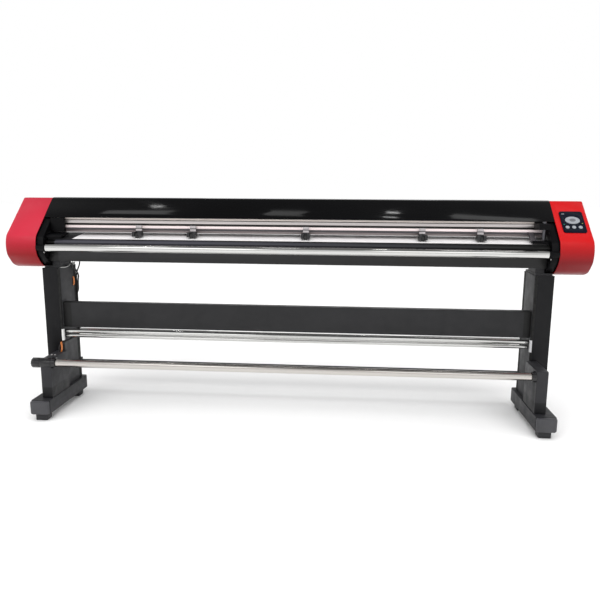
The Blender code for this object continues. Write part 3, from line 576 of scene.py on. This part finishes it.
def add_head_end_blocks():
    """Black mouldings beside the side plates: one over the rails' left end and one at each platen end."""
    bm = bmesh.new()
    add_box(bm, (-PLATEN_END, -0.9980), (0.0260, 0.0415), (0.7830, 0.8440))
    piece("rail_end_left", bm, "plate", bevel=0.0020)
    bm = bmesh.new()
    outline = [(-0.0250, 0.7590), (-0.0250, 0.7640), (-0.0160, 0.7730), (0.0500, 0.7790), (0.0500, 0.7700)]
    add_loft(bm, [[(x, y, z) for y, z in outline] for x in (-PLATEN_END, -PLATEN_INSIDE)])
    piece("platen_end_left", bm, "plate", bevel=0.0015)
    bm = bmesh.new()
    outline = [(-0.0250, 0.7590), (-0.0250, 0.7630), (-0.0160, 0.7690), (-0.0020, 0.7700), (-0.0020, 0.7600)]
    add_loft(bm, [[(x, y, z) for y, z in outline] for x in (PLATEN_INSIDE, PLATEN_END)])
    piece("platen_end_right", bm, "plate", bevel=0.0015)


def slope_frame():
    """Local x is world X, y runs up the right cover's slope, z stands out of it."""
    up = (SLOPE_TOP - SLOPE_FOOT).normalized()
    across = Vector((1, 0, 0))
    matrix = Matrix((across, up, across.cross(up))).transposed().to_4x4()
    matrix.translation = SLOPE_TOP
    return matrix


def add_panel_details():
    """Two indicator lights, a blank badge, and the darker middle of the navigation pad."""
    slope = slope_frame()
    lights = (("left", 1.122, 0.139, "green_light"), ("right", 1.195, 0.1325, "yellow_light"))
    for label, x, down, paint in lights:
        bm = bmesh.new()
        add_turned(bm, "Z", (x, -down), [(0.0030, 0.0022), (0.0037, 0.0022), (0.0043, 0.0014)], segments=16)
        bm.transform(slope)
        piece("panel_light_" + label, bm, paint, smooth_angle=80)
    bm = bmesh.new()
    add_box(bm, (1.122, 1.133), (-0.0810, -0.0775), (0.0030, 0.0036))
    bm.transform(slope)
    piece("panel_badge", bm, "key", bevel=0.0002)
    bm = bmesh.new()
    x, y = 1.159, -0.116
    steps = 32
    rings = []
    sizes = ((0.0050, 0.0125, 0.0085), (0.0060, 0.0125, 0.0085), (0.0064, 0.0118, 0.0078))
    for height, width, length in sizes:
        ring = []
        for i in range(steps):
            angle = 2 * math.pi * i / steps
            ring.append((x + width * math.cos(angle), y + length * math.sin(angle), height))
        rings.append(ring)
    add_loft(bm, rings)
    bm.transform(slope)
    piece("pad_centre", bm, "pad", body="navigation_pad_body", smooth_angle=60)


def add_tube_piece(name, points, radius, paint):
    curve = bpy.data.curves.new(name, "CURVE")
    curve.dimensions = "3D"
    curve.bevel_depth = radius
    curve.bevel_resolution = 3
    curve.use_fill_caps = True
    spline = curve.splines.new("POLY")
    spline.points.add(len(points) - 1)
    for place, point in zip(spline.points, points):
        place.co = (*point, 1)
    spline.use_smooth = True
    curve.materials.append(PAINTS[paint])
    obj = bpy.data.objects.new(name, curve)
    bpy.context.scene.collection.objects.link(obj)
    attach(obj, ROOT)


def add_cable_tags():
    """Two orange tags, slightly bowed flat strips, beside the take-up lead."""
    steps, half, thickness, bow = 8, 0.0065, 0.0008, 0.0025
    for name, x, y, low, high in (
        ("cable_tag_upper", -1.0152, 0.1200, 0.5320, 0.5720),
        ("cable_tag_lower", -1.0150, -0.0375, 0.2570, 0.3010),
    ):
        bm = bmesh.new()
        rings = []
        for i in range(steps + 1):
            t = i / steps
            z = low + (high - low) * t
            near = x + bow * math.sin(math.pi * t)
            far = near + thickness
            rings.append([(near, y - half, z), (far, y - half, z), (far, y + half, z), (near, y + half, z)])
        add_loft(bm, rings)
        piece(name, bm, "orange")


def add_screws():
    """Two by each end of the head tube and of the take-up tube, three on each cover, two on the left box."""
    for side, label in SIDES:
        bm = bmesh.new()
        add_screw(bm, "X", (-0.044, 0.6980), side * PLATE_FACE, -side, 0.0040, 0.0018)
        add_screw(bm, "X", (-0.020, 0.7400), side * PLATE_FACE, -side, 0.0030, 0.0014)
        piece(f"plate_screws_{label}", bm, "screw", smooth_angle=50)
        bm = bmesh.new()
        for y, z in ((-0.140, 0.2180), (-0.115, 0.2480)):
            add_screw(bm, "X", (y, z), side * LOWER_BOX_FACE, -side, 0.0032, 0.0015)
        piece(f"box_screws_{label}", bm, "screw", smooth_angle=50)
        bm = bmesh.new()
        for y, z in ((0.030, 0.670), (0.150, 0.670), (0.150, 0.880)):
            add_screw(bm, "X", (y, z), side * COVER_SIDE, side, 0.0036, 0.0006)
        piece(f"cover_screws_{label}", bm, "holder", smooth_angle=50)
    bm = bmesh.new()
    for x in (-1.0330, -1.0190):
        add_screw(bm, "Z", (x, -0.090), LEFT_BOX_TOP, 1, 0.0042, 0.0022)
    piece("drive_screws", bm, "screw", smooth_angle=50)


def add_tube_collars():
    """Black bearing collars where the take-up tube enters the two lower boxes."""
    ring = [(0.9860, 0.0172), (0.9860, 0.0210), (1.0012, 0.0235), (1.0012, 0.0172)]
    for side, label in SIDES:
        bm = bmesh.new()
        add_turned(bm, "X", TUBE_AXIS, [(side * x, radius) for x, radius in ring], segments=32, loop=True)
        piece(f"tube_collar_{label}", bm, "drive", bevel=0.0008)


def add_column_shade_strips():
    """Black strips of painted shade in the columns' front corners and in the groove at the rear of their
    inner faces.
    """
    heights = (SHADE_STRIP_BOTTOM, SHADE_STRIP_TOP)
    for side, label in SIDES:
        bm = bmesh.new()
        side_box(bm, side, (COLUMN_FACE + 0.0010, COLUMN_FACE + 0.0102), (-0.0092, -0.0002), heights)
        piece(f"column_front_shade_strip_{label}", bm, "shade_black", bevel=0.0004)
        bm = bmesh.new()
        side_box(bm, side, (COLUMN_FACE - 0.0002, COLUMN_FACE + 0.0016), (0.1265, 0.1475), heights)
        piece(f"column_rear_shade_strip_{label}", bm, "shade_black", bevel=0.0004)


def smooth_points(corners, share=0.4, steps=5):
    """A route whose corners are rounded by arcs that reach this share of the shorter leg."""
    corners = [Vector(corner) for corner in corners]
    points = [corners[0]]
    for before, here, after in zip(corners, corners[1:], corners[2:]):
        reach = share * min((before - here).length, (after - here).length)
        start = here + (before - here).normalized() * reach
        end = here + (after - here).normalized() * reach
        for i in range(steps + 1):
            t = i / steps
            points.append(start * (1 - t) ** 2 + here * 2 * t * (1 - t) + end * t**2)
    points.append(corners[-1])
    return points


def add_head_wires():
    """Two thin wires and a dark sleeve beside the left column. Their head ends stop 1.5 mm below the head."""
    wire_radius, sleeve_radius = 0.0018, 0.0035
    upper = [
        (-1.0200, 0.008, 0.6265),
        (-1.0130, 0.018, 0.6265),
        (-1.0115, 0.050, 0.6240),
        (-1.0110, 0.085, 0.6290),
        (-1.0100, 0.100, 0.6545),
    ]
    lower = [
        (-1.0040, 0.100, 0.6545),
        (-1.0050, 0.104, 0.6300),
        (-1.0010, 0.112, 0.6330),
        (-0.9990, 0.115, 0.6545),
    ]
    sleeve = [
        (-1.0120, 0.085, 0.6545),
        (-1.0080, 0.095, 0.6150),
        (-1.0030, 0.120, 0.6080),
        (-1.0040, 0.152, 0.5750),
        (-1.0115, 0.158, 0.5450),
        (-1.0115, 0.158, 0.5020),
        (-1.0310, 0.158, 0.4740),
        (-1.0340, 0.142, 0.4680),
    ]
    add_tube_piece("head_wire_upper", smooth_points(upper), wire_radius, "wire")
    add_tube_piece("head_wire_lower", smooth_points(lower), wire_radius, "wire")
    add_tube_piece("head_sleeve", smooth_points(sleeve), sleeve_radius, "rubber")


# ---------------------------------------------------------------- floor and light


FLOOR_HALF = 40
CEILING = 3.0


def add_floor():
    bm = bmesh.new()
    corners = ((-1, -1), (1, -1), (1, 1), (-1, 1))
    vertices = [bm.verts.new((FLOOR_HALF * x, FLOOR_HALF * y, 0)) for x, y in corners]
    bm.faces.new(vertices)
    mesh = bpy.data.meshes.new("floor")
    bm.to_mesh(mesh)
    bm.free()
    paint = Paint("floor_white", (0.93, 0.93, 0.93), roughness=0.7)
    paint.mottle((0.90, 0.90, 0.90), scale=0.8, amount=(0.0, 0.6))
    mesh.materials.append(paint.material)
    floor = bpy.data.objects.new("floor", mesh)
    bpy.context.scene.collection.objects.link(floor)


def add_area(name, place, target, size, power):
    data = bpy.data.lights.new(name, "AREA")
    data.shape = "RECTANGLE"
    data.size, data.size_y = size
    data.energy = power
    light = bpy.data.objects.new(name, data)
    light.location = place
    direction = Vector(target) - Vector(place)
    light.rotation_euler = direction.to_track_quat("-Z", "Y").to_euler()
    bpy.context.scene.collection.objects.link(light)


def add_world():
    """Plain white to the camera. For light and reflections: bright round the horizon, dim overhead and with
    a thin dark line at eye level."""
    world = bpy.data.worlds.new("studio")
    world.use_nodes = True
    nodes = world.node_tree.nodes
    links = world.node_tree.links
    coords = nodes.new("ShaderNodeTexCoord")
    split = nodes.new("ShaderNodeSeparateXYZ")
    height = nodes.new("ShaderNodeMapRange")
    height.inputs["From Min"].default_value = -1
    ramp = nodes.new("ShaderNodeValToRGB")
    stops = ((0.0, 0.35), (0.478, 0.45), (0.488, 0.12), (0.505, 0.14), (0.52, 0.9), (0.64, 1.05), (0.76, 0.8))
    stops += ((0.86, 0.40), (0.94, 0.22), (1.0, 0.18))
    elements = ramp.color_ramp.elements
    for position, level in stops[2:]:
        elements.new(position)
    for element, (position, level) in zip(elements, stops):
        element.position = position
        element.color = (level, level, level, 1)
    sky = nodes["Background"]
    plain = nodes.new("ShaderNodeBackground")
    plain.inputs["Color"].default_value = (1, 1, 1, 1)
    path = nodes.new("ShaderNodeLightPath")
    mix = nodes.new("ShaderNodeMixShader")
    links.new(coords.outputs["Generated"], split.inputs["Vector"])
    links.new(split.outputs["Z"], height.inputs["Value"])
    links.new(height.outputs["Result"], ramp.inputs["Fac"])
    links.new(ramp.outputs["Color"], sky.inputs["Color"])
    links.new(path.outputs["Is Camera Ray"], mix.inputs[0])
    links.new(sky.outputs["Background"], mix.inputs[1])
    links.new(plain.outputs["Background"], mix.inputs[2])
    links.new(mix.outputs["Shader"], nodes["World Output"].inputs["Surface"])
    bpy.context.scene.world = world


def add_overhead():
    """Wide even light from above, a little from the operator's side, that isn't seen in reflections."""
    data = bpy.data.lights.new("overhead", "SUN")
    data.energy = 2.3
    data.angle = math.radians(70)
    light = bpy.data.objects.new("overhead", data)
    light.rotation_euler = (math.radians(24), 0, 0)
    light.visible_glossy = False
    bpy.context.scene.collection.objects.link(light)


def add_lights():
    """Three soft lights round the machine; the panels and spots above it make the hood's reflections."""
    add_world()
    add_overhead()
    add_area("key", (-1.9, -3.2, 3.4), (-0.2, 0, 0.4), (2.6, 1.6), 22)
    add_area("fill", (2.2, -3.0, 3.2), (0.4, 0, 0.4), (2.2, 1.6), 12)
    add_area("back", (0.0, 3.4, 3.0), (0, 0.2, 0.2), (3.0, 1.4), 20)
    panels = ((-1.74, -0.05, 0.72, 1.3), (-0.22, 0.0, 0.36, 0.65), (1.80, 0.17, 0.80, 1.4))
    for number, (x, y, width, power) in enumerate(panels, start=1):
        add_area(f"ceiling_{number}", (x, y, CEILING), (x, y, 0), (width, 0.24), power)
    spots = ((-1.60, 0.24), (0.80, 0.20), (0.80, -0.02))
    for number, (x, y) in enumerate(spots, start=1):
        add_area(f"spot_{number}", (x, y, CEILING), (x, y, 0), (0.12, 0.03), 0.35)
    bpy.context.scene.view_settings.view_transform = "Standard"


add_camera()
add_rod_holders()
add_head_end_blocks()
add_panel_details()
add_cable_tags()
add_screws()
add_tube_collars()
add_column_shade_strips()
add_head_wires()
add_floor()
add_lights()
